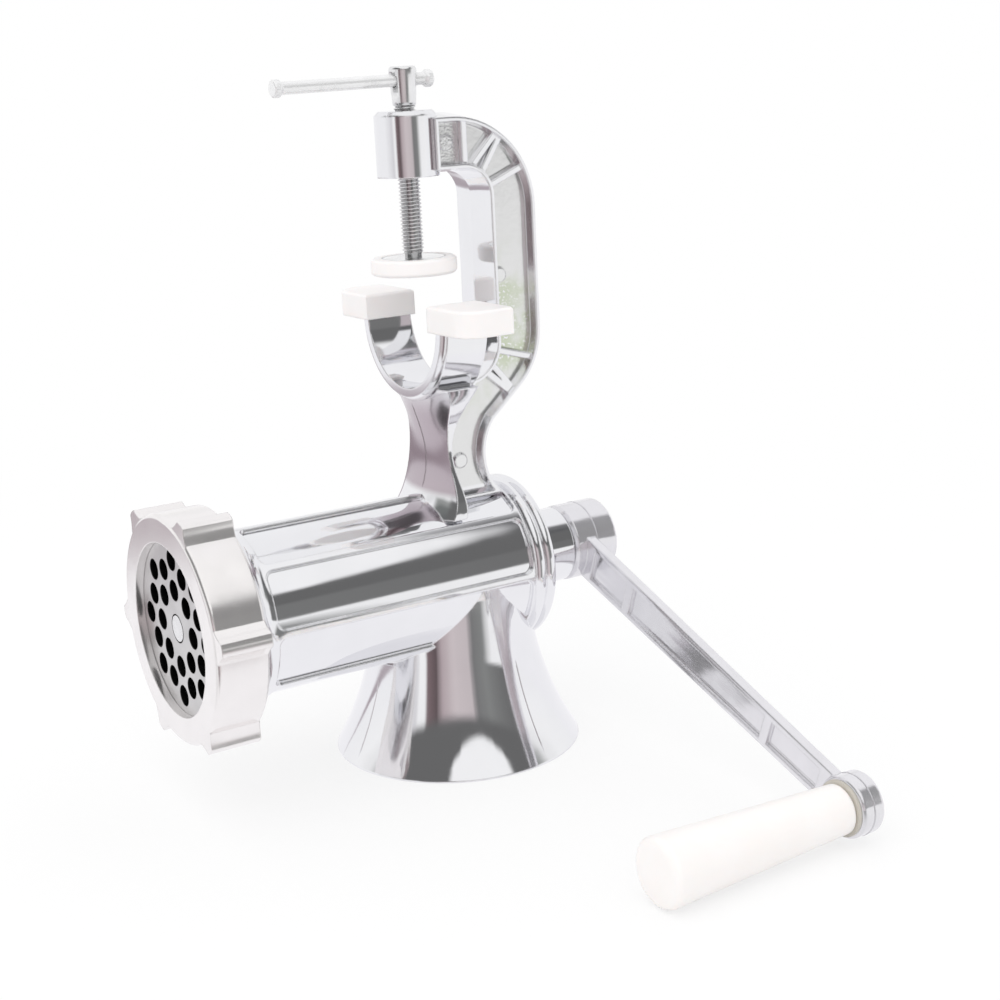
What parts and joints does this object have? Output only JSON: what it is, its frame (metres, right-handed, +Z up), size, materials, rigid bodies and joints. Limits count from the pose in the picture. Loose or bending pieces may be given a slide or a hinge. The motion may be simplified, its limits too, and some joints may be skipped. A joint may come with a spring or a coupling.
{
  "type": "hand crank meat grinder",
  "caption": "Hand crank meat grinder: ribbed barrel with bell hopper, C-shaped table clamp, feed screw, knife, hole plate, lugged ring nut and crank with plastic grip, stood on its hopper.",
  "frame": {"origin": "centre of the hopper mouth, on the floor it stands on", "axes": "+Z up from the hopper mouth to the clamp screw, +X along the feed axis from the hole plate to the crank; upside down to the way it is used, as in the picture"},
  "size_m": [0.1747, 0.21, 0.2426],
  "materials": {
    "cast_metal": "mirror-bright polished casting",
    "steel": "bright plated steel",
    "white_plastic": "smooth white plastic",
    "bearing_plastic": "plain grey-beige plastic"
  },
  "bodies": {
    "frame": {"body_casting": "cast_metal", "rear_bush": "bearing_plastic", "thrust_washer": "bearing_plastic", "plate_key": "steel", "jaw_pad_left": "white_plastic", "jaw_pad_right": "white_plastic"},
    "crank": {"feed_screw": "cast_metal", "drive_stud": "steel", "knife": "steel", "crank_arm": "cast_metal", "crank_washer": "steel", "crank_screw": "steel", "grip_washer": "bearing_plastic", "grip_pin": "steel"},
    "grip": {"grip": "white_plastic"},
    "plate": {"hole_plate": "steel"},
    "nut": {"ring_nut": "cast_metal"},
    "foot": {"swivel_foot": "steel", "foot_pad": "white_plastic"},
    "screw": {"clamp_screw": "steel"},
    "bar": {"tommy_bar": "steel"}
  },
  "joints": [
    {"name": "crank_turn", "type": "hinge", "parent": "frame", "child": "crank", "pos_m": [0, 0, 0.065], "axis": [1, 0, 0], "range_deg": [-95, 235]},
    {"name": "grip_spin", "type": "hinge", "parent": "crank", "child": "grip", "pos_m": [0.02, -0.15249, 0.0112], "axis": [1, 0, 0], "continuous": true},
    {"name": "plate_out", "type": "slide", "parent": "frame", "child": "plate", "axis": [-1, 0, 0], "range_m": [0, 0.012]},
    {"name": "nut_turn", "type": "hinge", "parent": "plate", "child": "nut", "pos_m": [-0.1, 0, 0.065], "axis": [-1, 0, 0], "range_deg": [-0.01, 1080.01]},
    {"name": "clamp_feed", "type": "slide", "parent": "frame", "child": "foot", "axis": [0, 0, 1], "range_m": [-0.0015, 0.025]},
    {"name": "screw_turn", "type": "hinge", "parent": "foot", "child": "screw", "pos_m": [-0.0068, 0, 0.2], "axis": [0, 0, 1], "range_deg": [-432.01, 7200.01]},
    {"name": "bar_slide", "type": "slide", "parent": "screw", "child": "bar", "axis": [1, 0, 0], "range_m": [-0.0029, 0.0406]}
  ],
  "couplings": [
    {"joint": "nut_turn", "follows": "plate_out", "rad_per_m": 1570.8},
    {"joint": "screw_turn", "follows": "clamp_feed", "rad_per_m": 5026.5}
  ]
}
